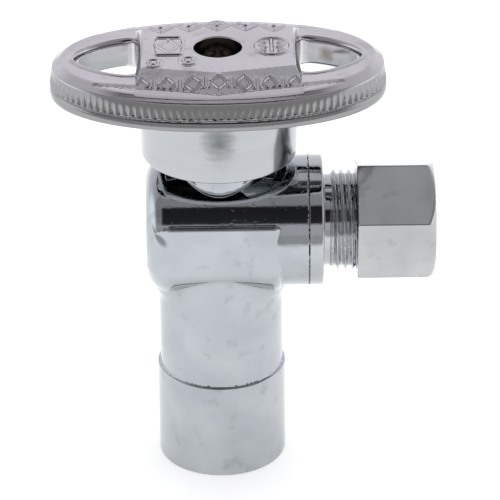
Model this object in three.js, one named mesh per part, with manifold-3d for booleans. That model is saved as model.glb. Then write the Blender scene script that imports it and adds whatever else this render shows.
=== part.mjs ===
// Quarter-turn angle stop valve: solder socket inlet at the bottom, compression outlet to the side.
//
// Millimetres, +Z up. The origin is the centre of the inlet's bottom face. The inlet, the ball's
// lower port, the stem and the handle share the Z axis; the outlet leaves along +X. The valve is
// shown open, with the long axis of the oval handle along the outlet.

import * as THREE from 'three';
import { mergeVertices } from 'three/addons/utils/BufferGeometryUtils.js';
import Module from 'manifold-3d';

const wasm = await Module();
wasm.setup();

const FINE = 40;          // facets round the large turned surfaces
const COARSE = 24;        // facets round the small ones
const SEAT_GAP = 0.3;     // between faces that touch in the real valve
const RUN_GAP = 0.1;      // radial clearance of a turning fit
const EDGE = 0.35;        // rounding of outer edges

// Inlet leg and socket for half-inch copper tube (15.9 mm outside)
const LEG_R = 8.79;
const SLEEVE_R = 9.17;
const SLEEVE_TOP = 14.54;
const SOCKET_R = 7.98;
const SOCKET_DEPTH = 12.7;
const WATERWAY_R = 5.2;

// Barrel across the top of the leg
const BARREL_Z = 36.86;
const BARREL_R = 9.27;
const BARREL_BACK = -10.37;
const BARREL_FACE = 12.35;
const BARREL_EDGE_R = 2.9;
const BLOCK_R = 10.2;        // fuller lower half of the casting, above the leg
const BLOCK_HALF_Y = BARREL_R;
const BLOCK_END = 8.6;
const BLOCK_TOP = 40.3;
const BLOCK_EDGE_R = 3.83;
const CHAMBER_R = 6.8;
const CHAMBER_BACK = -6.6;
const RETAINER_BORE_R = 7.6;
const RETAINER_BORE_START = 6.4;

// Ball, seats
const BALL_R = 6.0;
const PORT_R = 3.4;
const SEAT_X = 3.9;
const SEAT_R = 6.5;
const SEAT_INNER_R = 3.7;
const SEAT_THICKNESS = 2.3;

// Stem boss and its two travel stops
const BOSS_R = 6.0;
const BOSS_TOP = 52.0;
const STOP_R = 8.2;
const STOP_BOTTOM = 49.6;
const STOP_HALF_ANGLE = 21.2;

// Stem
const STEM_R = 3.0;
const TANG_BOTTOM = 41.4;
const TANG_WIDTH = 1.8;
const TANG_R = 3.6;
const FLANGE_R = 4.2;
const FLANGE_BOTTOM = 43.7;
const FLANGE_TOP = 44.7;
const WASHER_TOP = 45.5;
const SQUARE_BOTTOM = 52.4;
const STEM_TOP = 57.0;
const SQUARE_AF = 5.0;
const GROOVE_ROOT_R = 1.95;
const GROOVE_HEIGHT = 1.4;
const GROOVE_Z = [47.2, 49.8];

// Outlet retainer: threaded plug, collar and 9/16-24 male compression thread
const COLLAR_END = 14.5;
const THREAD_START = 15.7;
const THREAD_CREST_R = 7.1;
const THREAD_PITCH = 25.4 / 24;
const THREAD_DEPTH = 0.6;
const PLUG_R = 7.45;
const RETAINER_GROOVE_END = 12.2;
const RETAINER_GROOVE_WIDTH = 1.5;
const RETAINER_RING_R = 0.5;
const RETAINER_END = 25.6;
const FERRULE_CONE = 1.3;
const TUBE_SOCKET_R = 4.85;
const TUBE_STOP = 17.6;

// Compression nut, 5/8 inch across flats, and ferrule for 3/8 inch tube
const NUT_AF = 15.875;
const NUT_START = 19.24;
const NUT_END = 30.28;
const NUT_TILT = 21.8;
const NUT_BORE_R = 7.25;
const NUT_BORE_END = 27.0;
const NUT_SEAT_R = 6.3;
const NUT_SEAT = [27.9, 29.1];
const NUT_HOLE_R = 4.95;
const FERRULE_R = 5.8;
const FERRULE_EDGE_R = 5.15;
const FERRULE_X = [24.95, 26.3, 27.6, 28.6];

// Handle: round skirt, raised top plate and oval rim with two finger windows
const SKIRT_R = 10.93;
const SKIRT_WALL = 1.5;
const SKIRT_BOTTOM = 48.2;
const RIM_A = 23.37;
const RIM_B = 13.57;
const RIM_POWER = 2.13;
const RIM_WALL = 2.1;
const RIM_BOTTOM = 57.4;
const SHELF_TOP = 62.7;
const SHELF_UNDER = 61.0;
const PLATE_TOP = 63.96;
const MARK_HEIGHT = 0.24;
const WINDOW_X = [11.1, 19.6];
const WINDOW_HALF_Y = 5.6;
const WINDOW_WALL = 1.3;
const WINDOW_WALL_BOTTOM = 58.4;
const HANDLE_TURN = 0.5;  // degrees the open handle stands off the outlet's line
const HUB_R = 5.4;
const HUB_BOTTOM = 52.7;
const WELL_R = 3.32;
const WEB_BOTTOM = 57.4;
const WEB_TOP = 58.5;
const SCREW_R = 1.45;
const SCREW_HEAD_R = 2.75;
const SCREW_HEAD_HEIGHT = 1.7;

const MATERIALS = {
  bodyChrome: { color: 0xc9cdd2, roughness: 0.16, metalness: 1 },
  nutChrome: { color: 0xcfd2d5, roughness: 0.12, metalness: 1 },
  handleChrome: { color: 0xc8c4cc, roughness: 0.14, metalness: 1 },
  brass: { color: 0xc9a04c, roughness: 0.3, metalness: 1 },
  ballChrome: { color: 0xd6d8da, roughness: 0.08, metalness: 1 },
  steel: { color: 0xa9a59c, roughness: 0.35, metalness: 1 },
  ptfe: { color: 0xf0efe9, roughness: 0.55, metalness: 0 },
  rubber: { color: 0x1b1b1d, roughness: 0.7, metalness: 0 },
};

// ---- geometry helpers ----

// Closed solid from a three.js geometry: only positions kept, doubled vertices merged.
function toSolid(geometry) {
  const bare = new THREE.BufferGeometry();
  bare.setAttribute('position', geometry.getAttribute('position').clone());
  if (geometry.index) bare.setIndex(geometry.index.clone());
  const merged = mergeVertices(bare, 1e-4);
  const kept = [];
  const index = merged.index.array;
  for (let i = 0; i < index.length; i += 3) {
    const [a, b, c] = index.slice(i, i + 3);
    if (a !== b && b !== c && c !== a) kept.push(a, b, c);
  }
  return new wasm.Manifold(new wasm.Mesh({
    numProp: 3,
    vertProperties: new Float32Array(merged.getAttribute('position').array),
    triVerts: new Uint32Array(kept),
  }));
}

function toGeometry(solid) {
  const mesh = solid.getMesh();
  const geometry = new THREE.BufferGeometry();
  geometry.setAttribute('position', new THREE.BufferAttribute(mesh.vertProperties, 3));
  geometry.setIndex(new THREE.BufferAttribute(mesh.triVerts, 1));
  geometry.computeVertexNormals();
  return geometry;
}

function join(solids) {
  return solids.reduce((whole, next) => whole.add(next));
}

// Turned solid. The profile lists [height along the axis, radius] pairs from one end to the other;
// it either starts and ends on the axis or closes on itself.
function turned(profile, axis, facets = FINE, centreZ = BARREL_Z) {
  const points = profile.map(([height, radius]) => new THREE.Vector2(radius, height));
  if (THREE.ShapeUtils.area(points) < 0) points.reverse();
  const first = points[0];
  if (first.x > 0) points.push(first.clone());
  const geometry = new THREE.LatheGeometry(points, facets);
  if (axis === 'x') {
    geometry.rotateZ(-Math.PI / 2);
    geometry.translate(0, 0, centreZ);
  } else {
    geometry.rotateX(Math.PI / 2);
  }
  return toSolid(geometry);
}

// Plain cylinder between two heights.
function rod(radius, low, high, axis = 'z', facets = FINE) {
  return turned([[low, 0], [low, radius], [high, radius], [high, 0]], axis, facets);
}

// Quarter arc of a rounded edge: [height, radius] points from one angle to another.
function arc(height, radius, size, fromDegrees, toDegrees, steps = 4) {
  const points = [];
  for (let i = 0; i <= steps; i += 1) {
    const angle = THREE.MathUtils.degToRad(fromDegrees + (toDegrees - fromDegrees) * i / steps);
    points.push([height + size * Math.cos(angle), radius + size * Math.sin(angle)]);
  }
  return points;
}

// Flat outline pulled out along its normal, as a geometry and as a solid between two heights.
function prism(shape, depth) {
  return new THREE.ExtrudeGeometry(shape, { depth, bevelEnabled: false, curveSegments: 12 });
}

function slab(shape, low, high) {
  return toSolid(prism(shape, high - low).translate(0, 0, low));
}

function polygon(points) {
  return new THREE.Shape(points.map(([x, y]) => new THREE.Vector2(x, y)));
}

function box(sizeX, sizeY, low, high) {
  const geometry = new THREE.BoxGeometry(sizeX, sizeY, high - low);
  geometry.translate(0, 0, (low + high) / 2);
  return toSolid(geometry);
}

// Sector of a ring round Z, used for the travel stops.
function sector(innerR, outerR, centreDegrees, halfDegrees, low, high) {
  const from = THREE.MathUtils.degToRad(centreDegrees - halfDegrees);
  const to = THREE.MathUtils.degToRad(centreDegrees + halfDegrees);
  const shape = new THREE.Shape();
  shape.absarc(0, 0, outerR, from, to, false);
  shape.absarc(0, 0, innerR, to, from, true);
  return slab(shape, low, high);
}

// Point of the handle's oval outline, drawn in by an inset.
function ovalPoint(turn, inset) {
  const power = 2 / RIM_POWER;
  const c = Math.cos(turn);
  const s = Math.sin(turn);
  return [
    (RIM_A - inset) * Math.sign(c) * Math.abs(c) ** power,
    (RIM_B - inset) * Math.sign(s) * Math.abs(s) ** power,
  ];
}

function ovalOutline(inset, steps = 72) {
  return Array.from({ length: steps }, (_, i) => ovalPoint(2 * Math.PI * i / steps, inset));
}

// Solid between a stack of [inset, height] ovals, closed flat at both ends.
function ovalStack(levels, steps = 72) {
  const positions = levels.flatMap(([inset, z]) => (
    ovalOutline(inset, steps).flatMap(([x, y]) => [x, y, z])
  ));
  const faces = [];
  for (let level = 0; level + 1 < levels.length; level += 1) {
    for (let i = 0; i < steps; i += 1) {
      const a = level * steps + i;
      const b = level * steps + (i + 1) % steps;
      faces.push(a, b, b + steps, a, b + steps, a + steps);
    }
  }
  const top = (levels.length - 1) * steps;
  for (let i = 1; i + 1 < steps; i += 1) {
    faces.push(0, i + 1, i, top, top + i, top + i + 1);
  }
  const geometry = new THREE.BufferGeometry();
  geometry.setAttribute('position', new THREE.Float32BufferAttribute(positions, 3));
  geometry.setIndex(faces);
  return toSolid(geometry);
}

// ---- body ----

function valveBody() {
  const leg = turned([
    [0, 0], [0, SLEEVE_R - EDGE], [EDGE, SLEEVE_R], [SLEEVE_TOP, SLEEVE_R],
    [SLEEVE_TOP + 0.3, LEG_R], [BARREL_Z, LEG_R], [BARREL_Z, 0],
  ], 'z');
  const barrel = turned([
    [BARREL_BACK, 0],
    ...arc(BARREL_BACK + BARREL_EDGE_R, BARREL_R - BARREL_EDGE_R, BARREL_EDGE_R, 180, 90),
    [BARREL_FACE, BARREL_R], [BARREL_FACE, 0],
  ], 'x');
  const blockForm = turned([
    [BARREL_BACK, 0],
    ...arc(BARREL_BACK + BLOCK_EDGE_R, BLOCK_R - BLOCK_EDGE_R, BLOCK_EDGE_R, 180, 90),
    [BLOCK_END, BLOCK_R], [BLOCK_END, 0],
  ], 'x');
  const blockRoom = box(4 * BLOCK_R, 2 * BLOCK_HALF_Y, BARREL_Z - BLOCK_R - 1, BLOCK_TOP);
  const block = blockForm.intersect(blockRoom);
  const boss = rod(BOSS_R, BARREL_Z, BOSS_TOP);
  const stops = [0, 180].map((centre) => (
    sector(BOSS_R - 1, STOP_R, centre, STOP_HALF_ANGLE, STOP_BOTTOM, BOSS_TOP)
  ));
  const inletBore = turned([
    [-1, 0], [-1, SOCKET_R + 1.25], [0.25, SOCKET_R], [SOCKET_DEPTH, SOCKET_R],
    [SOCKET_DEPTH, WATERWAY_R], [BARREL_Z, WATERWAY_R], [BARREL_Z, 0],
  ], 'z');
  const chamber = turned([
    [CHAMBER_BACK, 0], [CHAMBER_BACK, CHAMBER_R], [RETAINER_BORE_START, CHAMBER_R],
    [RETAINER_BORE_START, RETAINER_BORE_R], [BARREL_FACE + 1, RETAINER_BORE_R], [BARREL_FACE + 1, 0],
  ], 'x');
  const stemBore = turned([
    [BARREL_Z, 0], [BARREL_Z, FLANGE_R + 0.2], [WASHER_TOP + 0.1, FLANGE_R + 0.2],
    [WASHER_TOP + 0.1, STEM_R + RUN_GAP], [BOSS_TOP + 1, STEM_R + RUN_GAP], [BOSS_TOP + 1, 0],
  ], 'z');
  return join([leg, barrel, block, boss, ...stops]).subtract(join([inletBore, chamber, stemBore]));
}

// ---- ball, seats and stem ----

function ball() {
  const sphere = turned([[-BALL_R, 0], ...arc(0, 0, BALL_R, 165, 15, 10), [BALL_R, 0]], 'x', FINE);
  const sidePort = rod(PORT_R, 0, BALL_R + 1, 'x', COARSE);
  const lowerPort = rod(PORT_R, BARREL_Z - BALL_R - 1, BARREL_Z + 1, 'z', COARSE);
  const slot = box(TANG_WIDTH + 2 * RUN_GAP, 3 * BALL_R, TANG_BOTTOM - SEAT_GAP, BARREL_Z + BALL_R + 1);
  return sphere.subtract(join([sidePort, lowerPort, slot]));
}

// Ring whose inner face is hollowed to the ball; side is +1 at the outlet and -1 at the back.
function seat(side) {
  const hollowR = BALL_R + 1.5 * RUN_GAP;
  const edgeAngle = THREE.MathUtils.radToDeg(Math.acos(SEAT_X / hollowR));
  const innerAngle = THREE.MathUtils.radToDeg(Math.asin(SEAT_INNER_R / hollowR));
  const far = SEAT_X + SEAT_THICKNESS;
  const profile = [
    [far, SEAT_INNER_R], [far, SEAT_R], [SEAT_X, SEAT_R], ...arc(0, 0, hollowR, edgeAngle, innerAngle),
  ];
  return turned(profile.map(([height, radius]) => [side * height, radius]), 'x');
}

function stem() {
  const grooves = GROOVE_Z.flatMap((z) => [
    [z - GROOVE_HEIGHT / 2, STEM_R], [z - GROOVE_HEIGHT / 2, GROOVE_ROOT_R],
    [z + GROOVE_HEIGHT / 2, GROOVE_ROOT_R], [z + GROOVE_HEIGHT / 2, STEM_R],
  ]);
  const shaft = turned([
    [TANG_BOTTOM, 0], [TANG_BOTTOM, TANG_R], [FLANGE_BOTTOM, TANG_R], [FLANGE_BOTTOM, FLANGE_R],
    [FLANGE_TOP, FLANGE_R], [FLANGE_TOP, STEM_R], ...grooves, [STEM_TOP, STEM_R], [STEM_TOP, 0],
  ], 'z', COARSE);
  const tangSides = [-1, 1].map((side) => {
    const cut = box(2 * FLANGE_R, 3 * FLANGE_R, TANG_BOTTOM - 1, FLANGE_BOTTOM);
    return cut.translate([side * (FLANGE_R + TANG_WIDTH / 2), 0, 0]);
  });
  const frame = box(12, 12, SQUARE_BOTTOM, STEM_TOP + 1);
  const square = box(SQUARE_AF, SQUARE_AF, SQUARE_BOTTOM - 1, STEM_TOP + 2);
  const tapped = rod(SCREW_R + 0.15, SQUARE_BOTTOM - 1, STEM_TOP + 1, 'z', COARSE);
  return shaft.subtract(join([...tangSides, frame.subtract(square), tapped]));
}

// O-ring of round section, centred at a height along its axis.
function oRing(height, meanR, sectionR, axis, facets) {
  return turned(arc(height, meanR, sectionR, 0, 315, 7), axis, facets);
}

function stemRing(z) {
  const innerR = GROOVE_ROOT_R + RUN_GAP / 2;
  const outerR = STEM_R + RUN_GAP / 2;
  return oRing(z, (innerR + outerR) / 2, (outerR - innerR) / 2, 'z', COARSE);
}

function thrustWasher() {
  const low = FLANGE_TOP + 0.1;
  const high = WASHER_TOP;
  return turned([
    [low, STEM_R + RUN_GAP], [low, FLANGE_R], [high, FLANGE_R], [high, STEM_R + RUN_GAP],
  ], 'z', COARSE);
}

// ---- outlet ----

function outletRetainer() {
  const plugStart = SEAT_X + SEAT_THICKNESS + SEAT_GAP;
  const grooveStart = RETAINER_GROOVE_END - RETAINER_GROOVE_WIDTH;
  const grooveR = PLUG_R - 2 * RETAINER_RING_R - 0.15;
  const collarStart = BARREL_FACE + SEAT_GAP / 2;
  const root = THREAD_CREST_R - THREAD_DEPTH;
  const turns = Math.floor((RETAINER_END - 0.5 - THREAD_START) / THREAD_PITCH);
  const ridges = [];
  for (let i = 0; i < turns; i += 1) {
    const start = THREAD_START + i * THREAD_PITCH;
    ridges.push([start, root], [start + THREAD_PITCH / 2, THREAD_CREST_R]);
  }
  const outside = turned([
    [plugStart, 0], [plugStart, PLUG_R], [grooveStart, PLUG_R], [grooveStart, grooveR],
    [RETAINER_GROOVE_END, grooveR], [RETAINER_GROOVE_END, PLUG_R],
    [collarStart, PLUG_R], [collarStart, BARREL_R],
    [COLLAR_END - EDGE, BARREL_R], [COLLAR_END, BARREL_R - EDGE], [COLLAR_END, root], ...ridges,
    [THREAD_START + turns * THREAD_PITCH, root], [RETAINER_END, root - EDGE / 2], [RETAINER_END, 0],
  ], 'x');
  const bore = turned([
    [plugStart - 1, 0], [plugStart - 1, PORT_R], [TUBE_STOP, PORT_R], [TUBE_STOP, TUBE_SOCKET_R],
    [RETAINER_END - FERRULE_CONE, TUBE_SOCKET_R], [RETAINER_END, FERRULE_R - 0.1],
    [RETAINER_END + 1, FERRULE_R - 0.1], [RETAINER_END + 1, 0],
  ], 'x');
  return outside.subtract(bore);
}

function retainerRing() {
  const middle = RETAINER_GROOVE_END - RETAINER_GROOVE_WIDTH / 2;
  return oRing(middle, PLUG_R - RETAINER_RING_R - 0.05, RETAINER_RING_R, 'x', FINE);
}

function compressionNut() {
  const corner = NUT_AF / Math.sqrt(3);
  const hexagon = Array.from({ length: 6 }, (_, i) => {
    const angle = THREE.MathUtils.degToRad(60 * i);
    return [corner * Math.cos(angle), corner * Math.sin(angle)];
  });
  const bar = prism(polygon(hexagon), NUT_END - NUT_START);
  bar.rotateZ(THREE.MathUtils.degToRad(90 - NUT_TILT));
  bar.rotateY(Math.PI / 2);
  bar.translate(NUT_START, 0, BARREL_Z);
  const turnedForm = turned([
    [NUT_START, 0], [NUT_START, corner - 0.3], [NUT_START + 0.2, corner + 0.1],
    [NUT_END - 1.06, corner + 0.1], [NUT_END, NUT_AF / 2 - 0.1], [NUT_END, 0],
  ], 'x');
  const bore = turned([
    [NUT_START - 1, 0], [NUT_START - 1, NUT_BORE_R], [NUT_BORE_END, NUT_BORE_R],
    [NUT_BORE_END, NUT_SEAT_R], [NUT_SEAT[0], NUT_SEAT_R], [NUT_SEAT[1], NUT_HOLE_R],
    [NUT_END + 1, NUT_HOLE_R], [NUT_END + 1, 0],
  ], 'x');
  return toSolid(bar).intersect(turnedForm).subtract(bore);
}

function ferrule() {
  const [start, shoulder, taper, end] = FERRULE_X;
  return turned([
    [start, TUBE_SOCKET_R], [start, FERRULE_EDGE_R], [shoulder, FERRULE_R], [taper, FERRULE_R],
    [end, FERRULE_EDGE_R], [end, TUBE_SOCKET_R],
  ], 'x');
}

// ---- handle ----

// D-shaped window outline beside the skirt; grow pushes it out all round.
function windowShape(side, grow) {
  const [near, far] = WINDOW_X;
  const middle = near + 1.6;
  const points = [[near - grow, -3.9], [near + 0.35 - grow, -4.9 - grow * 0.6]];
  for (let i = 0; i <= 16; i += 1) {
    const angle = THREE.MathUtils.degToRad(-90 + 180 * i / 16);
    points.push([
      middle + (far - middle + grow) * Math.cos(angle),
      (WINDOW_HALF_Y + grow) * Math.sin(angle),
    ]);
  }
  points.push([near + 0.35 - grow, 4.9 + grow * 0.6], [near - grow, 3.9]);
  const outline = points.map(([x, y]) => [side * x, y]);
  return polygon(side > 0 ? outline : outline.reverse());
}

function handle() {
  const rim = ovalStack([
    [0.4, RIM_BOTTOM], [0, 57.8], [0, 58.6], [0.35, 58.95], [0.1, 59.2], [0.4, 61.9],
    [0.75, 62.05], [1.15, SHELF_TOP],
  ]);
  const shelf = ovalStack([[1.15, SHELF_TOP - 0.1], [3.2, SHELF_TOP + 0.3], [4.9, PLATE_TOP]]);
  const plateau = box(2 * WINDOW_X[0] - 0.6, 2 * RIM_B, SHELF_TOP - 0.1, PLATE_TOP + 1);
  const skirt = rod(SKIRT_R, SKIRT_BOTTOM, SHELF_TOP - 0.5);
  const outside = join([rim, shelf.intersect(plateau)]);

  const underside = ovalStack([[RIM_WALL, RIM_BOTTOM - 1], [RIM_WALL, SHELF_UNDER]]);
  const windowWalls = join([-1, 1].map((side) => (
    slab(windowShape(side, WINDOW_WALL), WINDOW_WALL_BOTTOM, SHELF_TOP - 0.5)
  )));
  const windows = join([-1, 1].map((side) => slab(windowShape(side, 0), RIM_BOTTOM - 1, PLATE_TOP + 1)));

  const skirtHollow = rod(SKIRT_R - SKIRT_WALL, SKIRT_BOTTOM - 1, WEB_BOTTOM + 2);
  const hub = rod(HUB_R, HUB_BOTTOM, PLATE_TOP - 1, 'z', COARSE);
  const ribs = join([135, 315].map((centre) => (
    sector(HUB_R + 1, SKIRT_R - 0.5, centre, STOP_HALF_ANGLE, STOP_BOTTOM, WEB_BOTTOM + 3)
  )));
  const squareHole = box(SQUARE_AF + 0.2, SQUARE_AF + 0.2, HUB_BOTTOM - 1, WEB_BOTTOM)
    .intersect(rod(STEM_R + 0.15, HUB_BOTTOM - 1, WEB_BOTTOM, 'z', COARSE));
  const screwHole = rod(SCREW_R + 0.35, WEB_BOTTOM - 1, WEB_TOP + 1, 'z', COARSE);
  const well = rod(WELL_R, WEB_TOP, PLATE_TOP + 1);
  const marks = join([-36, -18, 0, 18, 36].map((tilt) => {
    const angle = THREE.MathUtils.degToRad(90 - tilt);
    const mark = rod(0.8, PLATE_TOP - 0.5, PLATE_TOP + MARK_HEIGHT, 'z', 12);
    return mark.translate([11.5 * Math.cos(angle), 7 * Math.sin(angle), 0]);
  }));

  const shell = outside.subtract(underside);
  const whole = join([shell, windowWalls, skirt]).subtract(join([windows, skirtHollow]));
  return join([whole, hub, ribs, marks]).subtract(join([squareHole, screwHole, well]));
}

function handleScrew() {
  const headBottom = WEB_TOP + 0.1;
  const headTop = headBottom + SCREW_HEAD_HEIGHT;
  const body = turned([
    [SQUARE_BOTTOM, 0], [SQUARE_BOTTOM, SCREW_R - 0.4], [SQUARE_BOTTOM + 0.5, SCREW_R],
    [headBottom, SCREW_R],
    [headBottom, SCREW_HEAD_R], [headTop - 0.7, SCREW_HEAD_R], [headTop - 0.2, SCREW_HEAD_R - 0.6],
    [headTop, 0],
  ], 'z', COARSE);
  const cross = [0, 90].map((turn) => box(3.0, 0.7, headTop - 1, headTop + 1).rotate([0, 0, turn]));
  return body.subtract(join(cross));
}

// ---- assembly ----

function piece(name, solid, finish) {
  const mesh = new THREE.Mesh(toGeometry(solid), new THREE.MeshStandardMaterial(MATERIALS[finish]));
  mesh.name = name;
  return mesh;
}

const group = new THREE.Group();
group.add(
  piece('valve_body', valveBody(), 'bodyChrome'),
  piece('ball', ball(), 'ballChrome'),
  piece('seat_back', seat(-1), 'ptfe'),
  piece('seat_outlet', seat(1), 'ptfe'),
  piece('outlet_retainer', outletRetainer(), 'nutChrome'),
  piece('retainer_o_ring', retainerRing(), 'rubber'),
  piece('ferrule', ferrule(), 'brass'),
  piece('compression_nut', compressionNut(), 'nutChrome'),
);

const turning = new THREE.Group();
turning.rotation.z = THREE.MathUtils.degToRad(HANDLE_TURN);
turning.add(
  piece('stem', stem(), 'brass'),
  piece('stem_thrust_washer', thrustWasher(), 'ptfe'),
  piece('stem_o_ring_lower', stemRing(GROOVE_Z[0]), 'rubber'),
  piece('stem_o_ring_upper', stemRing(GROOVE_Z[1]), 'rubber'),
  piece('handle', handle(), 'handleChrome'),
  piece('handle_screw', handleScrew(), 'steel'),
);
group.add(turning);

export default group;
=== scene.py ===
import math

import bpy
import numpy as np
from mathutils import Matrix, Vector


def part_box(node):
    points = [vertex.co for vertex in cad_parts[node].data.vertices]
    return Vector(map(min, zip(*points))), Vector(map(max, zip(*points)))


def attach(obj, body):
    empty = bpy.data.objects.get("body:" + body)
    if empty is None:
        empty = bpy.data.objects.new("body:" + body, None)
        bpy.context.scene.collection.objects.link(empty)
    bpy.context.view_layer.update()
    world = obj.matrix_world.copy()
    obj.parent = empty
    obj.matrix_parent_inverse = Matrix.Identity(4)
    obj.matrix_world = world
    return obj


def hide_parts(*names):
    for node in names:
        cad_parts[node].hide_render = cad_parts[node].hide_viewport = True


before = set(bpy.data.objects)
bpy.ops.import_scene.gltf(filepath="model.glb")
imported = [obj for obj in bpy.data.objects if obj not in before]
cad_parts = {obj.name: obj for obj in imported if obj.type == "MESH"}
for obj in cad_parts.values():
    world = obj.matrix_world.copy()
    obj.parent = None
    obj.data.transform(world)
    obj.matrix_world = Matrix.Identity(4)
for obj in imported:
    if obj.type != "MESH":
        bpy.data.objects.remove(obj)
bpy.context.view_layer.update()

MM = 0.001

# Driving dimensions in millimetres, the same as the CAD part's. R is a radius and AF is across flats; a name
# that ends in Z, X, BOTTOM, TOP, START, END, BACK or FACE is a place.
EDGE = 0.35
SEAT_GAP = 0.3
RUN_GAP = 0.1
LEG_R, SLEEVE_R, SLEEVE_TOP = 8.79, 9.17, 14.54
SOCKET_R, SOCKET_DEPTH, WATERWAY_R = 7.98, 12.7, 5.2
BARREL_Z, BARREL_R, BARREL_BACK, BARREL_FACE, BARREL_EDGE_R = 36.86, 9.27, -10.37, 12.35, 2.9
BLOCK_R, BLOCK_HALF_Y, BLOCK_END, BLOCK_TOP, BLOCK_EDGE_R = 10.2, BARREL_R, 8.6, 40.3, 3.83
CHAMBER_R, CHAMBER_BACK = 6.8, -6.6
RETAINER_BORE_R, RETAINER_BORE_START = 7.6, 6.4
BALL_R, PORT_R = 6.0, 3.4
SEAT_X, SEAT_R, SEAT_INNER_R, SEAT_THICKNESS = 3.9, 6.5, 3.7, 2.3
BOSS_R, BOSS_TOP = 6.0, 52.0
STOP_R, STOP_BOTTOM, STOP_HALF_ANGLE = 8.2, 49.6, 21.2
STEM_R, TANG_BOTTOM, TANG_WIDTH, TANG_R = 3.0, 41.4, 1.8, 3.6
FLANGE_R, FLANGE_BOTTOM, FLANGE_TOP, WASHER_TOP = 4.2, 43.7, 44.7, 45.5
SQUARE_BOTTOM, STEM_TOP, SQUARE_AF = 52.4, 57.0, 5.0
GROOVE_ROOT_R, GROOVE_HEIGHT, GROOVE_Z = 1.95, 1.4, (47.2, 49.8)
COLLAR_END, THREAD_START, THREAD_CREST_R, THREAD_PITCH, THREAD_DEPTH = 14.5, 15.7, 7.1, 25.4 / 24, 0.6
PLUG_R, RETAINER_GROOVE_END, RETAINER_GROOVE_WIDTH, RETAINER_RING_R = 7.45, 12.2, 1.5, 0.5
RETAINER_END, FERRULE_CONE, TUBE_SOCKET_R, TUBE_STOP = 25.6, 1.3, 4.85, 17.6
NUT_AF, NUT_START, NUT_END, NUT_TILT = 15.875, 19.24, 30.28, 21.8
NUT_BORE_R, NUT_BORE_END, NUT_SEAT_R, NUT_SEAT, NUT_HOLE_R = 7.25, 27.0, 6.3, (27.9, 29.1), 4.95
FERRULE_R, FERRULE_X = 5.8, (24.95, 26.3, 27.6, 28.6)
SKIRT_R, SKIRT_WALL, SKIRT_BOTTOM, SKIRT_TAPER = 10.9, 1.5, 48.2, 0.02
RIM_A, RIM_B, RIM_POWER, RIM_WALL, RIM_BOTTOM = 23.37, 13.57, 2.13, 2.1, 57.4
SHELF_UNDER, PLATE_TOP, MARK_HEIGHT = 61.0, 63.96, 0.24
WINDOW_NEAR, WINDOW_MIDDLE, WINDOW_TIP, WINDOW_HALF_Y = 11.1, 12.2, 19.7, 5.5
WINDOW_POWER, WINDOW_WALL, WINDOW_WALL_BOTTOM = 1.55, 1.3, 58.4
HANDLE_TURN = math.radians(0.5)
HUB_R, HUB_BOTTOM, WELL_R, WEB_BOTTOM, WEB_TOP = 5.4, 52.7, 3.32, 57.4, 58.5
SCREW_R, SCREW_HEAD_R, SCREW_HEAD_HEIGHT = 1.45, 2.75, 1.7

# Finer shapes that the CAD part leaves out.
SOCKET_CHAMFER, SOCKET_CHAMFER_SLOPE = 0.7, 0.9
LEG_FILLET, FRONT_FILLET, FILLET_FADE = 1.9, 0.15, (27.5, 31.5)
FINE_PITCH = 0.7
CROWN_SLOPE, NUT_BACK_SLOPE, FERRULE_SLOPE_IN, FERRULE_SLOPE_OUT = 1.35, 1.5, 0.48, 0.65
HEAD_DOME_R, CROSS_HALF_LENGTH, CROSS_HALF_WIDTH, CROSS_DEPTH = 5.5, 1.5, 0.35, 1.0
BEAD_Z, BEAD_HALF, BEAD_DEPTH, BEAD_TOP = 58.15, 0.78, 0.35, 58.93
SIDE_BOTTOM, SIDE_TOP, SIDE_LEAN, SHOULDER_INSET = 59.2, 61.6, 0.133, 0.37
FLUTE_WIDTH, FLUTE_DEPTH = 1.02, 0.17
BAND_TOP, BAND_RISE, LIP_HEIGHT, SLOPE_FOOT, SLOPE_RISE = 62.1, 0.18, 0.52, 62.28, 0.5
SLOPE_EDGE_Y, SLOPE_EDGE_TAPER = 11.6, 0.193
FRIEZE_Y, FRIEZE_PITCH, FRIEZE_HEIGHT, FRIEZE_END = -9.5, 1.75, 0.26, 11.2


# ---- rounded solids as distance fields ----
# A field is negative inside its solid and measures about the distance to its surface, in millimetres.

def meet(a, b, r):
    """What two solids share, with the edge between them rounded."""
    return np.minimum(np.maximum(a, b), -r) + np.hypot(np.maximum(a + r, 0), np.maximum(b + r, 0))


def join(a, b, r):
    """Both solids, with a fillet of radius r between them."""
    return np.maximum(np.minimum(a, b), r) - np.hypot(np.maximum(r - a, 0), np.maximum(r - b, 0))


def cut(a, b, r):
    """The first solid less the second, with the new edge rounded."""
    return meet(a, -b, r)


def melt(a, b, width):
    """Both solids, flowing into each other as a casting does."""
    h = np.clip(0.5 + 0.5 * (b - a) / width, 0, 1)
    return b + (a - b) * h - width * h * (1 - h)


def span(t, low, high):
    """The slab between two heights of one coordinate."""
    return np.abs(t - (low + high) / 2) - (high - low) / 2


def ramp(t, low, high):
    """Smooth step from 0 at low to 1 at high."""
    s = np.clip((t - low) / (high - low), 0, 1)
    return s * s * (3 - 2 * s)


def around_x(y, z):
    """Distance from the barrel's axis."""
    return np.hypot(y, z - BARREL_Z)


def cone(rho, r, along, slope):
    """Cone that has radius r where along is 0 and narrows by the slope."""
    return (rho - r + along * slope) / math.hypot(1, slope)


def screw_thread(x, y, z, depth):
    """Wave of a fine helical thread about the vertical axis."""
    return depth * np.cos(2 * math.pi * z / FINE_PITCH - np.arctan2(y, x))


def wedge(x, y, centre, half):
    """Sector of the plane on both sides of a direction, angles in degrees."""
    c, s = math.cos(math.radians(centre)), math.sin(math.radians(centre))
    along, across = x * c + y * s, -x * s + y * c
    return np.abs(across) * math.cos(math.radians(half)) - along * math.sin(math.radians(half))


# ---- the pieces ----

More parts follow.
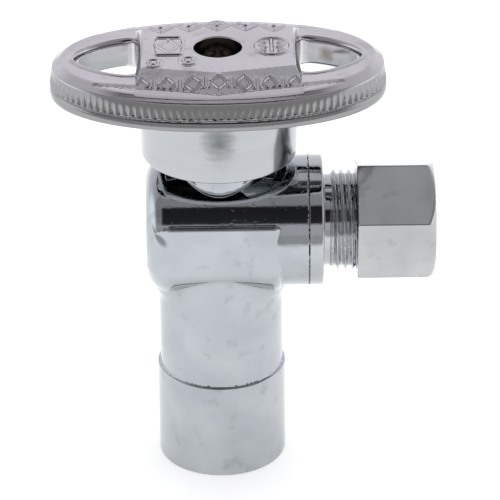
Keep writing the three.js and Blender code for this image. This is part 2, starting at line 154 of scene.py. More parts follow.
def valve_body(x, y, z):
    r, rho = np.hypot(x, y), around_x(y, z)
    leg = meet(r - LEG_R, span(z, 1, BARREL_Z), EDGE)
    sleeve = meet(r - SLEEVE_R, span(z, 0, SLEEVE_TOP), 0.18)
    leg = join(leg, sleeve, 0.08)
    barrel = meet(rho - BARREL_R, BARREL_BACK - x, BARREL_EDGE_R)
    barrel = meet(barrel, x - BARREL_FACE - 0.13, 0.05)
    block = meet(meet(np.abs(y) - BLOCK_HALF_Y, rho - BLOCK_R, 0.25), z - BLOCK_TOP, 0.22)
    block = meet(meet(block, BARREL_BACK - x, BLOCK_EDGE_R), x - BLOCK_END, 1.2)
    boss = meet(r - BOSS_R, span(z, BARREL_Z, BOSS_TOP), EDGE)
    fillet = LEG_FILLET + (FRONT_FILLET - LEG_FILLET) * ramp(z, *FILLET_FADE)
    whole = join(join(melt(barrel, block, 0.12), leg, fillet), boss, 0.3)
    lugs = np.minimum(wedge(x, y, 0, STOP_HALF_ANGLE), wedge(x, y, 180, STOP_HALF_ANGLE))
    lugs = meet(meet(lugs, r - STOP_R, 0.3), span(z, STOP_BOTTOM, BOSS_TOP), 0.3)
    whole = join(whole, lugs, 0.3)
    chamfer = SOCKET_CHAMFER_SLOPE * np.clip(SOCKET_CHAMFER - z, 0, 2)
    mouth = np.maximum(r - SOCKET_R - chamfer, z - SOCKET_DEPTH)
    waterway = np.maximum(r - WATERWAY_R, z - BARREL_Z)
    chamber = np.maximum(rho - CHAMBER_R, span(x, CHAMBER_BACK, BARREL_FACE))
    counterbore = np.maximum(rho - RETAINER_BORE_R, RETAINER_BORE_START - x)
    flange_room = np.maximum(r - FLANGE_R - 0.2, span(z, BARREL_Z, WASHER_TOP + 0.1))
    stem_bore = np.maximum(r - STEM_R - RUN_GAP, BARREL_Z - z)
    for hollow in (mouth, waterway, chamber, counterbore, flange_room, stem_bore):
        whole = cut(whole, hollow, 0.15)
    return whole


def ball(x, y, z):
    r, rho = np.hypot(x, y), around_x(y, z)
    sphere = np.sqrt(x * x + y * y + (z - BARREL_Z) ** 2) - BALL_R
    sphere = meet(sphere, np.abs(x) - BALL_R * math.cos(math.radians(15)), 0.1)
    side_port = np.maximum(rho - PORT_R, -x)
    lower_port = np.maximum(r - PORT_R, z - BARREL_Z)
    slot = np.maximum(np.abs(x) - TANG_WIDTH / 2 - RUN_GAP, TANG_BOTTOM - SEAT_GAP - z)
    for hollow in (np.minimum(side_port, lower_port), slot):
        sphere = cut(sphere, hollow, 0.2)
    return sphere


def seat(side):
    def field(x, y, z):
        rho, along = around_x(y, z), side * x
        ring = meet(span(along, SEAT_X, SEAT_X + SEAT_THICKNESS), rho - SEAT_R, 0.2)
        ring = cut(ring, rho - SEAT_INNER_R, 0.15)
        return cut(ring, np.hypot(along, rho) - BALL_R - 1.5 * RUN_GAP, 0.1)
    return field


def stem(x, y, z):
    r = np.hypot(x, y)
    shaft = meet(r - STEM_R, span(z, FLANGE_BOTTOM, STEM_TOP), 0.25)
    square = meet(np.abs(x) - SQUARE_AF / 2, np.abs(y) - SQUARE_AF / 2, 0.2)
    shaft = meet(shaft, np.minimum(square, z - SQUARE_BOTTOM), 0.12)
    flange = meet(r - FLANGE_R, span(z, FLANGE_BOTTOM, FLANGE_TOP), 0.2)
    tang = meet(np.abs(x) - TANG_WIDTH / 2, r - TANG_R, 0.15)
    tang = meet(tang, span(z, TANG_BOTTOM, FLANGE_TOP), 0.15)
    whole = join(join(shaft, flange, 0.2), tang, 0.15)
    for middle in GROOVE_Z:
        groove = np.maximum(GROOVE_ROOT_R - r, np.abs(z - middle) - GROOVE_HEIGHT / 2)
        whole = cut(whole, groove, 0.1)
    tapped = np.maximum(r - SCREW_R - 0.2 + screw_thread(x, y, z, 0.1), SQUARE_BOTTOM - 1 - z)
    return cut(whole, tapped, 0.1)


def ring_z(height, mean_r, section_r):
    return lambda x, y, z: np.hypot(np.hypot(x, y) - mean_r, z - height) - section_r


def ring_x(along, mean_r, section_r):
    return lambda x, y, z: np.hypot(around_x(y, z) - mean_r, x - along) - section_r


def stem_ring(height):
    inner, outer = GROOVE_ROOT_R + RUN_GAP / 2, STEM_R + RUN_GAP / 2
    return ring_z(height, (inner + outer) / 2, (outer - inner) / 2)


def thrust_washer(x, y, z):
    r = np.hypot(x, y)
    disc = meet(r - FLANGE_R, span(z, FLANGE_TOP + RUN_GAP, WASHER_TOP), 0.15)
    return cut(disc, r - STEM_R - RUN_GAP, 0.1)


def outlet_retainer(x, y, z):
    rho, angle = around_x(y, z), np.arctan2(z - BARREL_Z, y)
    plug_start = SEAT_X + SEAT_THICKNESS + SEAT_GAP
    root = THREAD_CREST_R - THREAD_DEPTH
    plug = meet(rho - PLUG_R, span(x, plug_start, BARREL_FACE + 0.5), 0.25)
    groove_start = RETAINER_GROOVE_END - RETAINER_GROOVE_WIDTH
    groove_r = PLUG_R - 2 * RETAINER_RING_R - 0.15
    plug = cut(plug, np.maximum(groove_r - rho, span(x, groove_start, RETAINER_GROOVE_END)), 0.1)
    collar = meet(rho - BARREL_R, BARREL_FACE + SEAT_GAP / 2 - x, 0.04)
    collar = meet(collar, x - COLLAR_END, EDGE)
    neck = meet(rho - root, span(x, BARREL_FACE, RETAINER_END), 0.25)
    turn = np.abs((x / THREAD_PITCH - angle / (2 * math.pi)) % 1 - 0.5) * 2
    ridge = THREAD_DEPTH * np.clip((turn - 0.12) / 0.76, 0, 1)
    grown = ramp(x, THREAD_START - 0.3, THREAD_START + 0.2) * ramp(RETAINER_END - x, 0.2, 1.2)
    threads = (rho - root - ridge * grown) * 0.75
    threads = meet(threads, span(x, THREAD_START - 0.8, RETAINER_END - 0.2), 0.05)
    whole = np.minimum(join(join(plug, collar, 0.1), neck, 0.25), threads)
    flare = FERRULE_SLOPE_OUT * np.clip(x - RETAINER_END + FERRULE_CONE, 0, 2)
    socket = np.maximum(rho - TUBE_SOCKET_R - flare, TUBE_STOP - x)
    return cut(cut(whole, rho - PORT_R, 0.15), socket, 0.12)


def compression_nut(x, y, z):
    rho, corner = around_x(y, z), NUT_AF / math.sqrt(3)
    flats = None
    for turn in (30, 90, 150):
        angle = math.radians(NUT_TILT + turn)
        side = np.abs(-y * math.cos(angle) + (z - BARREL_Z) * math.sin(angle)) - NUT_AF / 2
        flats = side if flats is None else meet(flats, side, 0.1)
    crown = cone(rho, NUT_AF / 2 - 0.1, x - NUT_END, CROWN_SLOPE)
    back = cone(rho, corner - 0.25, NUT_START - x, NUT_BACK_SLOPE)
    nut = meet(flats, span(x, NUT_START, NUT_END), 0.12)
    nut = meet(meet(nut, crown, 0.35), back, 0.1)
    bore = np.maximum(rho - NUT_BORE_R, x - NUT_BORE_END)
    seat_room = np.maximum(rho - NUT_SEAT_R + np.clip(x - NUT_SEAT[0], 0, 1.2) * 1.12, x - NUT_SEAT[1])
    for hollow in (bore, seat_room, rho - NUT_HOLE_R):
        nut = cut(nut, hollow, 0.25)
    return nut


def ferrule(x, y, z):
    rho = around_x(y, z)
    start, shoulder, taper, end = FERRULE_X
    slope_in = cone(rho, FERRULE_R, shoulder - x, FERRULE_SLOPE_IN)
    slope_out = cone(rho, FERRULE_R, x - taper, FERRULE_SLOPE_OUT)
    sleeve = meet(meet(rho - FERRULE_R, slope_in, 0.3), slope_out, 0.3)
    return cut(meet(sleeve, span(x, start, end), 0.1), rho - TUBE_SOCKET_R, 0.08)


def handle_screw(x, y, z):
    r, bottom = np.hypot(x, y), WEB_TOP + RUN_GAP
    top = bottom + SCREW_HEAD_HEIGHT
    head = meet(r - SCREW_HEAD_R, span(z, bottom, top), 0.15)
    head = meet(head, np.hypot(r, z - top + HEAD_DOME_R) - HEAD_DOME_R, 0.3)
    thread = screw_thread(x, y, z, 0.12) * (z < bottom - 0.6)
    shank = meet(r - SCREW_R + 0.14 + thread, span(z, SQUARE_BOTTOM, bottom + 0.5), 0.15)
    slots = [
        meet(np.abs(a) - CROSS_HALF_LENGTH, np.abs(b) - CROSS_HALF_WIDTH, 0.1) for a, b in ((x, y), (y, x))
    ]
    floor = top - CROSS_DEPTH + 0.35 * r
    return cut(join(head, shank, 0.1), np.maximum(np.minimum(*slots), (floor - z) * 0.9), 0.1)


# ---- the handle ----

def oval_inset(x, y):
    """How far a point lies inside the rim's oval."""
    ax, ay = np.abs(x / RIM_A) + 1e-9, np.abs(y / RIM_B) + 1e-9
    g = (ax ** RIM_POWER + ay ** RIM_POWER) ** (1 / RIM_POWER)
    slope = g ** (1 - RIM_POWER) * np.hypot(ax ** (RIM_POWER - 1) / RIM_A, ay ** (RIM_POWER - 1) / RIM_B)
    return (1 - g) / slope


def oval_arc_length():
    """Parameter angles round the oval and the length of rim up to each."""
    turn = np.linspace(-math.pi, math.pi, 2001)
    c, s, power = np.cos(turn), np.sin(turn), 2 / RIM_POWER
    px = RIM_A * np.sign(c) * np.abs(c) ** power
    py = RIM_B * np.sign(s) * np.abs(s) ** power
    length = np.concatenate([[0], np.cumsum(np.hypot(np.diff(px), np.diff(py)))])
    return np.arctan2(py / RIM_B, px / RIM_A), length


ARC_TURN, ARC_LENGTH = oval_arc_length()
FLUTES = round(ARC_LENGTH[-1] / FLUTE_WIDTH)


def flutes(x, y, z):
    """Depth of the fine upright flutes round the rim's side."""
    length = np.interp(np.arctan2(y / RIM_B, x / RIM_A), ARC_TURN, ARC_LENGTH)
    phase = length / ARC_LENGTH[-1] * FLUTES * 2 * math.pi
    top = SIDE_TOP - 0.4 + 0.4 * ramp(np.abs(x), 14, 19)
    scallop = np.sqrt(0.5 - 0.5 * np.cos(phase))
    foot = ramp(z, SIDE_BOTTOM - 0.05, SIDE_BOTTOM + 0.2)
    return FLUTE_DEPTH * scallop * foot * (1 - ramp(z, top - 1.9, top))


def raised(distance, height=MARK_HEIGHT):
    """Height of a raised mark whose outline is where the distance is zero."""
    return height * (1 - ramp(distance, -0.13, 0.07))


def hoop(x, y, cx, cy, r, half):
    return np.abs(np.hypot(x - cx, y - cy) - r) - half


def bar(x, y, cx, cy, length, width, turn):
    """Bar with round ends."""
    c, s = math.cos(math.radians(turn)), math.sin(math.radians(turn))
    along, across = (x - cx) * c + (y - cy) * s, -(x - cx) * s + (y - cy) * c
    return np.hypot(np.maximum(np.abs(along) - length / 2 + width / 2, 0), across) - width / 2


def lozenge(x, y, cx, cy, a, b):
    return (np.abs(x - cx) / a + np.abs(y - cy) / b - 1) * a * b / math.hypot(a, b)


def nearest(shapes):
    """Distance to the closest of several shapes."""
    closest = shapes[0]
    for shape in shapes[1:]:
        closest = np.minimum(closest, shape)
    return closest


def marks(x, y):
    """Abstract raised ornament on the top plate: a back row, a framed lozenge, a ringed leaf, two rings."""
    found = []
    for i in range(-2, 3):
        cx, cy = 3.95 * i, 7.1 - 0.12 * i * i
        found.append(np.abs(lozenge(x, y, cx, cy, 1.55, 1.5)) - 0.27)
        found.append(np.hypot(x - cx, y - cy) - 0.4)
    frame_x, leaf_x, middle_y = -6.85, 7.4, -0.1
    panel_x, panel_y = np.abs(x - frame_x), np.abs(y - 0.4)
    panel = meet(panel_x - 2.2 + 0.12 * panel_y, panel_y - 2.8, 0.5)
    found.append(np.abs(panel) - 0.26)
    found.append(np.abs(lozenge(x, y, frame_x, 0.4, 1.45, 2.0)) - 0.25)
    found.append(hoop(x, y, leaf_x, middle_y, 2.65, 0.26))
    found.append(bar(x, y, leaf_x, middle_y, 4.4, 0.5, 90))
    for i in range(-1, 2):
        for side in (-1, 1):
            cx, cy = leaf_x + side * 1.2, middle_y + 1.3 * i
            found.append(bar(x, y, cx, cy, 1.5 - 0.3 * abs(i), 0.46, side * 40))
    for cx, cy in ((-8.9, -5.1), (-4.1, -4.5)):
        found.append(hoop(x, y, cx, cy, 1.15, 0.26))
        found.append(np.hypot(x - cx, y - cy) - 0.46)
    return raised(nearest(found))


def frieze(x, y):
    """Row of raised lozenges and pairs of bars along the plate's front slope."""
    found = []
    for i in range(-6, 7):
        cx = FRIEZE_PITCH * i
        cy = FRIEZE_Y + 0.004 * cx * cx
        if i % 2 == 0:
            found.append(np.abs(lozenge(x, y, cx, cy, 1.15, 1.1)) - 0.22)
        else:
            found.append(bar(x, y, cx - 0.42, cy, 2.0, 0.46, 90))
            found.append(bar(x, y, cx + 0.42, cy, 2.0, 0.46, 90))
    return raised(nearest(found), FRIEZE_HEIGHT)


def window(x, y):
    """The finger window's outline, the same on both sides of the hub."""
    ax, length, power = np.abs(x), WINDOW_TIP - WINDOW_MIDDLE, WINDOW_POWER
    u = np.maximum(ax - WINDOW_MIDDLE, 0) / length + 1e-9
    v = np.abs(y) / WINDOW_HALF_Y + 1e-9
    g = (u ** power + v ** power) ** (1 / power)
    slope = g ** (1 - power) * np.hypot(u ** (power - 1) / length, v ** (power - 1) / WINDOW_HALF_Y)
    bow = (g - 1) / np.maximum(slope, 0.05)
    return meet(bow, WINDOW_NEAR + 0.012 * y * y - ax, 0.6)


def plate_height(x, y, inset, opening):
    """Height of the handle's top: a rim band, lips round the windows, a slope and the flat plate."""
    ax = np.abs(x)
    climb = SLOPE_EDGE_Y - SLOPE_EDGE_TAPER * ax - np.abs(y)
    crease = 0.14 * np.exp(-(climb / 0.16) ** 2)
    band = BAND_TOP + BAND_RISE * np.clip(inset - 1.05, 0, 1.6) - crease
    lip = SLOPE_FOOT - 0.03 + LIP_HEIGHT * np.sqrt(np.clip(1 - ((opening - 0.55) / 0.65) ** 2, 0, 1))
    cap = PLATE_TOP - 1.4 * ramp(ax, WINDOW_NEAR - 0.7, WINDOW_NEAR + 0.4)
    slope = SLOPE_FOOT + SLOPE_RISE * np.maximum(climb, 0)
    plate = np.where(climb > 0, np.minimum(slope, cap), 0)
    top = np.maximum(np.maximum(band, plate), np.where(ax > WINDOW_NEAR + 0.4, lip, 0))
    flat = ramp(plate, PLATE_TOP - 0.25, PLATE_TOP - 0.02)
    front = ramp(climb, 0.1, 0.3) * (y < 0) * (ax < FRIEZE_END)
    return top + marks(x, y) * flat + frieze(x, y) * front * (1 - flat)


def rim(x, y, z, inset):
    """The oval rim's outside: a bead below, leaning fluted sides and a sloping shoulder."""
    bead = BEAD_DEPTH * (1 - np.sqrt(np.clip(1 - ((z - BEAD_Z) / BEAD_HALF) ** 2, 0, 1)))
    step = 0.3 * (1 - ramp(z, BEAD_TOP, SIDE_BOTTOM))
    wall = 0.05 + (z - SIDE_BOTTOM) * SIDE_LEAN + step + flutes(x, y, z)
    side = np.where(z < BEAD_TOP, bead, wall)
    outside = meet((side - inset) * 0.8, RIM_BOTTOM - z, 0.2)
    shoulder = ((z - SIDE_TOP) * 0.68 - (inset - SHOULDER_INSET) * 0.5) / math.hypot(0.68, 0.5)
    return meet(outside, shoulder, 0.1)


def skirt_and_hub(shell, x, y, z):
    """Adds the round skirt, the hub for the stem's square and the two stop ribs between them."""
    r = np.hypot(x, y)
    above = SHELF_UNDER + 0.6
    taper = (z - SKIRT_BOTTOM) * SKIRT_TAPER
    skirt = meet(r - SKIRT_R - taper, span(z, SKIRT_BOTTOM, above), 0.3)
    hollow = np.maximum(r - SKIRT_R + SKIRT_WALL, z - WEB_BOTTOM - 2)
    whole = cut(join(shell, skirt, 0.4), hollow, 0.3)
    hub = meet(r - HUB_R, span(z, HUB_BOTTOM, SHELF_UNDER), 0.3)
    ribs = np.minimum(wedge(x, y, 135, STOP_HALF_ANGLE), wedge(x, y, 315, STOP_HALF_ANGLE))
    ribs = meet(meet(ribs, r - SKIRT_R + 0.5, 0.2), span(z, STOP_BOTTOM, WEB_BOTTOM + 3), 0.3)
    ribs = meet(ribs, HUB_R + 1 - r, 0.2)
    return join(join(whole, hub, 0.5), ribs, 0.4)


def handle(x, y, z):
    r, inset, opening = np.hypot(x, y), oval_inset(x, y), window(x, y)
    outside = meet(rim(x, y, z, inset), (z - plate_height(x, y, inset, opening)) * 0.85, 0.15)
    shell = cut(outside, np.maximum(RIM_WALL - inset, z - SHELF_UNDER), 0.3)
    walls = meet(opening - WINDOW_WALL, span(z, WINDOW_WALL_BOTTOM, SHELF_UNDER + 0.6), 0.3)
    shell = cut(join(shell, walls, 0.5), opening, 0.25 + 0.35 * ramp(np.abs(x), 11.6, 13))
    whole = skirt_and_hub(shell, x, y, z)
    square = meet(np.abs(x) - SQUARE_AF / 2 - RUN_GAP, np.abs(y) - SQUARE_AF / 2 - RUN_GAP, 0.1)
    square = meet(square, r - STEM_R - 0.15, 0.1)
    socket = np.maximum(square, z - WEB_BOTTOM)
    for room in (socket, r - SCREW_R - EDGE, np.maximum(r - WELL_R, WEB_TOP - z)):
        whole = cut(whole, room, 0.2)
    return whole


def handle_painted_light(x, y, z):
    """Painted light and shade on the plating: painted shade in the hollow underside and on the rim's side, a
    painted highlight on the window walls and a painted dark reflection in a line by the windows' inner
    edges.
    """
    ax, r, inset, opening = np.abs(x), np.hypot(x, y), oval_inset(x, y), window(x, y)
    # painted shade: the rim's fluted side darker
    side = (1 - ramp(inset, 0.5, 0.8)) * (1 - ramp(z, SIDE_TOP - 0.3, SIDE_TOP + 0.1))
    # painted highlight: the window walls lighter
    wall = (1 - ramp(opening, 0.2, 0.5)) * (1 - ramp(z, 61.9, 62.3))
    # painted shade: the hollow underside almost black, where it lies in shadow
    hollow = ramp(inset, 1.4, 1.8) * ramp(opening, 0.6, 0.9) * (r > HUB_R)
    hollow = hollow * ramp(z, 58.2, 58.6) * (1 - ramp(z, SHELF_UNDER + 0.1, SHELF_UNDER + 0.4))
    # painted dark reflection: a narrow dark line by the windows' inner edges
    edge = ramp(ax, 10.1, 10.5) * (1 - ramp(ax, WINDOW_NEAR, WINDOW_NEAR + 0.3))
    edge = edge * ramp(z, 62.3, 62.6) * (1 - ramp(opening, 0.5, 0.9))
    painted_light = 1 - 0.42 * side + 0.2 * wall - 0.45 * edge
    return painted_light + (0.04 - painted_light) * hollow


# ---- fields to meshes ----

def sample(field, points):
    """The field at many points, a handful at a time to stay in the processor's cache."""
    parts = [field(*points[i:i + 60000].T) for i in range(0, len(points), 60000)]
    return np.concatenate(parts)


def slope_of(field, points):
    """The field and its gradient."""
    h = 0.01
    value = sample(field, points)
    slope = np.empty_like(points)
    for axis in range(3):
        shift = np.zeros(3)
        shift[axis] = h
        slope[:, axis] = (sample(field, points + shift) - sample(field, points - shift)) / (2 * h)
    return value, slope


def settle(field, points, step, rounds):
    """Moves points onto the surface."""
    for _ in range(rounds):
        value, slope = slope_of(field, points)
        move = (value / np.maximum((slope ** 2).sum(1), 0.05))[:, None] * slope
        length = np.maximum(np.linalg.norm(move, axis=1, keepdims=True), 1e-9)
        points = points - move * np.minimum(1, step / length)
    return points


def lattice(*counts):
    axes = np.meshgrid(*[np.arange(n) for n in counts], indexing="ij")
    return np.stack(axes, -1).reshape(-1, 3)


def surface_net(field, low, high, step, slack=1.25):
    """Vertices and quads of a field's surface, one vertex in each cube that the surface crosses."""
    block = 6
    low = np.array(low, float) - 1.37 * step
    blocks = np.ceil((np.array(high) + 1.4 * step - low) / (step * block)).astype(int)
    grid = lattice(*blocks)
    reach = slack * step * block * math.sqrt(3) / 2
    near = grid[np.abs(sample(field, low + (grid + 0.5) * step * block)) < reach]
    corner = near[:, None] * block + lattice(block + 1, block + 1, block + 1)
    shape = (len(near), block + 1, block + 1, block + 1)
    value = sample(field, low + corner.reshape(-1, 3) * step).reshape(shape)
    picks = {o: value[:, o[0]:block + o[0], o[1]:block + o[1], o[2]:block + o[2]]
             for o in map(tuple, lattice(2, 2, 2))}
    inside = sum((v < 0).astype(np.int8) for v in picks.values())
    active = (inside > 0) & (inside < 8)
    where = np.argwhere(active)
    cell = near[where[:, 0]] * block + where[:, 1:]
    values = {o: v[active] for o, v in picks.items()}

    total, hits = np.zeros((len(cell), 3)), np.zeros(len(cell))
    for axis in range(3):
        for o in (o for o in values if o[axis] == 0):
            far = tuple(1 if i == axis else o[i] for i in range(3))
            a, b = values[o], values[far]
            crossed = (a < 0) != (b < 0)
            point = np.tile(np.array(o, float), (len(cell), 1))
            point[:, axis] = a / np.where(crossed, a - b, 1)
            total[crossed] += point[crossed]
            hits += crossed
    points = low + (cell + total / hits[:, None]) * step

    size = blocks * block + 2
    key = ((cell[:, 0] + 1) * size[1] + cell[:, 1] + 1) * size[2] + cell[:, 2] + 1
    order = np.argsort(key)
    stride = (size[1] * size[2], size[2], 1)
    quads = []
    for axis in range(3):
        far = tuple(int(i == axis) for i in range(3))
        start, end = values[0, 0, 0] < 0, values[far] < 0
        for outward in (True, False):
            chosen = key[(start == outward) & (end != outward)]
            p, q = stride[(axis + 1) % 3], stride[(axis + 2) % 3]
            ring = np.stack([chosen, chosen - p, chosen - p - q, chosen - q], 1)
            found = order[np.searchsorted(key, ring, sorter=order)]
            quads.append(found if outward else found[:, ::-1])
    return points, np.concatenate(quads)


def relax(points, quads):
    """Each vertex drawn half way to the middle of its neighbours."""
    a, b = quads.ravel(), np.roll(quads, -1, axis=1).ravel()
    count = np.bincount(a, minlength=len(points)) + np.bincount(b, minlength=len(points))
    total = np.stack([
        np.bincount(a, points[b, i], len(points)) + np.bincount(b, points[a, i], len(points))
        for i in range(3)
    ], 1)
    return (points + total / count[:, None]) / 2


def piece(name, field, low, high, step, body, material, turn=0.0, slack=1.25, painted_light=None):
    """Meshes one piece, puts it in place of its CAD node and lets it ride on its body."""
    points, quads = surface_net(field, low, high, step, slack)
    points = settle(field, points, step, 1)
    for _ in range(2):
        points = settle(field, relax(points, quads), step, 1)
    points = settle(field, points, step, 1)
    normals = slope_of(field, points)[1]
    normals /= np.linalg.norm(normals, axis=1, keepdims=True)
    # painted light and shade for each point, 1 where none is painted
    shade = np.ones(len(points)) if painted_light is None else painted_light(*points.T)
    c, s = math.cos(turn), math.sin(turn)
    spin = np.array([[c, s, 0], [-s, c, 0], [0, 0, 1]])
    points, normals = points @ spin, normals @ spin
    mesh = bpy.data.meshes.new(name)
    mesh.from_pydata((points * MM).tolist(), [], quads.tolist())
    mesh.shade_smooth()
    smooth = mesh.attributes.new("custom_normal", "FLOAT_VECTOR", "POINT")
    smooth.data.foreach_set("vector", normals.astype(np.float32).ravel())
    painted_light_layer = mesh.attributes.new("painted_light", "FLOAT", "POINT")
    painted_light_layer.data.foreach_set("value", shade.astype(np.float32))
    mesh.update()
    mesh.materials.append(material)
    obj = bpy.data.objects.new(name + "_surface", mesh)
    bpy.context.scene.collection.objects.link(obj)
    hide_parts(name)
    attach(obj, body)
    return obj


# ---- materials ----

class Nodes:
    """Short way to add shader nodes and link them."""

    def __init__(self, name):
        self.material = bpy.data.materials.new(name)
        self.material.use_nodes = True
        self.tree = self.material.node_tree
        self.shader = self.tree.nodes["Principled BSDF"]
        self.place = self.add("ShaderNodeTexCoord").outputs["Object"]

    def add(self, kind, **settings):
        node = self.tree.nodes.new(kind)
        for key, value in settings.items():
            setattr(node, key, value)
        return node

    def link(self, source, target):
        self.tree.links.new(source, target)

    def noise(self, scale, detail=3.0, stretch=(1, 1, 1)):
        """Noise whose cells are about 1/scale metres wide."""
        mapping = self.add("ShaderNodeMapping")
        mapping.inputs["Scale"].default_value = stretch
        node = self.add("ShaderNodeTexNoise")
        node.inputs["Scale"].default_value = scale
        node.inputs["Detail"].default_value = detail
        self.link(self.place, mapping.inputs["Vector"])
        self.link(mapping.outputs["Vector"], node.inputs["Vector"])
        return node.outputs["Fac"]

    def remap(self, value, low, high, to_low, to_high):
        node = self.add("ShaderNodeMapRange")
        for key, number in zip(("From Min", "From Max", "To Min", "To Max"), (low, high, to_low, to_high)):
            node.inputs[key].default_value = number
        self.link(value, node.inputs["Value"])
        return node.outputs["Result"]

    def height_mask(self, low, high):
        """0 below one height of the object and 1 above another, in millimetres."""
        parts = self.add("ShaderNodeSeparateXYZ")
        self.link(self.place, parts.inputs["Vector"])
        return self.remap(parts.outputs["Z"], low * MM, high * MM, 0.0, 1.0)

    def maths(self, operation, a, b=None):
        node = self.add("ShaderNodeMath", operation=operation)
        for socket, value in zip(node.inputs, (a, b)):
            if isinstance(value, (int, float)):
                socket.default_value = value
            elif value is not None:
                self.link(value, socket)
        return node.outputs["Value"]

    def patch(self, centre, reach, ragged):
        """1 at a place on the object, fading to 0 around it, with a ragged edge; in millimetres."""
        mapping = self.add("ShaderNodeMapping", vector_type="TEXTURE")
        mapping.inputs["Location"].default_value = [v * MM for v in centre]
        mapping.inputs["Scale"].default_value = [v * MM for v in reach]
        self.link(self.place, mapping.inputs["Vector"])
        length = self.add("ShaderNodeVectorMath", operation="LENGTH")
        self.link(mapping.outputs["Vector"], length.inputs[0])
        edge = self.maths("ADD", length.outputs["Value"], self.maths("MULTIPLY", ragged, 0.7))
        return self.remap(edge, 0.35, 1.35, 1.0, 0.0)

    def blend(self, mask, first, second):
        """Colour that goes from the first to the second as the mask goes from 0 to 1."""
        node = self.add("ShaderNodeMix", data_type="RGBA")
        self.link(mask, node.inputs["Factor"])
        for socket, colour in ((node.inputs["A"], first), (node.inputs["B"], second)):
            if isinstance(colour, tuple):
                socket.default_value = (*colour, 1)
            else:
                self.link(colour, socket)
        return node.outputs["Result"]

    def bump(self, height, distance, strength=1.0, below=None):
        node = self.add("ShaderNodeBump")
        node.inputs["Strength"].default_value = strength
        node.inputs["Distance"].default_value = distance * MM
        self.link(height, node.inputs["Height"])
        if below is not None:
            self.link(below, node.inputs["Normal"])
        return node.outputs["Normal"]


def plated(name, light, dark, smooth, worn, wave=0.012, pits=0.0, grain=0.004):
    """Chrome plate: slight unevenness of the polish, faint haze and stains, and a few fine pits."""
    n = Nodes(name)
    n.shader.inputs["Metallic"].default_value = 1
    haze = n.remap(n.noise(140, 4), 0.35, 0.7, 0, 1)
    colour = n.blend(haze, light, dark)
    stain = n.remap(n.noise(330, 5), 0.58, 0.72, 0, 0.5)
    colour = n.blend(stain, colour, tuple(0.66 * v for v in dark))
    n.link(colour, n.shader.inputs["Base Color"])
    n.link(n.remap(n.noise(420, 5), 0.35, 0.75, smooth, worn), n.shader.inputs["Roughness"])
    uneven = n.bump(n.noise(620, 3), 0.004, 1.0, n.bump(n.noise(170, 2), wave))
    uneven = n.bump(n.noise(3400, 2), grain, 1.0, uneven)
    if pits:
        fine = n.maths("MULTIPLY", n.remap(n.noise(1500, 2), 0.64, 0.72, 1, 0), n.height_mask(40.2, 41.2))
        uneven = n.bump(fine, pits, 0.6, uneven)
    n.link(uneven, n.shader.inputs["Normal"])
    return n


def handle_finish():
    """Plate on die-cast zinc, brushed on the skirt and stained in one window, with painted shade in a patch
    on the skirt's front, a painted dark reflection in a streak on its front right and the painted light and
    shade of the points scaled in.
    """
    n = plated("handle_chrome", (0.58, 0.565, 0.60), (0.53, 0.515, 0.55), 0.10, 0.18, 0.01)
    plate = n.shader.inputs["Base Color"].links[0].from_socket
    plate = n.blend(n.height_mask(61.2, 61.6), (0.53, 0.53, 0.535), plate)
    skirt = n.blend(n.noise(90, 3, (1, 1, 6)), (0.50, 0.515, 0.53), (0.43, 0.445, 0.46))
    # painted shade: a dark patch on the skirt's front, with a streaky edge
    painted_front_shade = n.patch((0, -SKIRT_R, 54.8), (2.7, 6, 3.9), n.noise(500, 3, (1, 1, 5)))
    skirt = n.blend(painted_front_shade, skirt, (0.19, 0.205, 0.205))
    # painted dark reflection: a near-black streak on the skirt's front right
    painted_dark_reflection = n.patch((9.25, -5.8, 53.6), (0.95, 3, 5.4), n.noise(400, 3, (1, 1, 2)))
    skirt = n.blend(painted_dark_reflection, skirt, (0.035, 0.035, 0.035))
    colour = n.blend(n.height_mask(57.2, 57.5), skirt, plate)
    rust = n.patch((15.4, 5.2, 60.4), (1.5, 1.6, 1.5), n.noise(700, 4))
    colour = n.blend(rust, colour, (0.13, 0.085, 0.045))
    # painted light and shade: the colour scaled by the points' painted light
    painted_light_colour = n.add("ShaderNodeVectorMath", operation="SCALE")
    n.link(colour, painted_light_colour.inputs[0])
    n.link(n.add("ShaderNodeAttribute", attribute_name="painted_light").outputs["Fac"], painted_light_colour.inputs["Scale"])
    n.link(painted_light_colour.outputs["Vector"], n.shader.inputs["Base Color"])
    return n.material


def turned_metal(name, light, dark, smooth, rough, scale):
    """Turned brass or plated steel with fine tool marks round the axis."""
    n = Nodes(name)
    n.shader.inputs["Metallic"].default_value = 1
    n.link(n.blend(n.noise(260, 4), light, dark), n.shader.inputs["Base Color"])
    n.link(n.remap(n.noise(900, 3), 0.3, 0.7, smooth, rough), n.shader.inputs["Roughness"])
    n.link(n.bump(n.noise(scale, 2, (1, 1, 8)), 0.01), n.shader.inputs["Normal"])
    return n.material


def moulded(name, light, dark, smooth, rough):
    """Dense plastic or rubber with a faint moulded grain."""
    n = Nodes(name)
    n.link(n.blend(n.noise(300, 4), light, dark), n.shader.inputs["Base Color"])
    n.link(n.remap(n.noise(700, 3), 0.3, 0.7, smooth, rough), n.shader.inputs["Roughness"])
    n.link(n.bump(n.noise(2600, 3), 0.02), n.shader.inputs["Normal"])
    return n.material


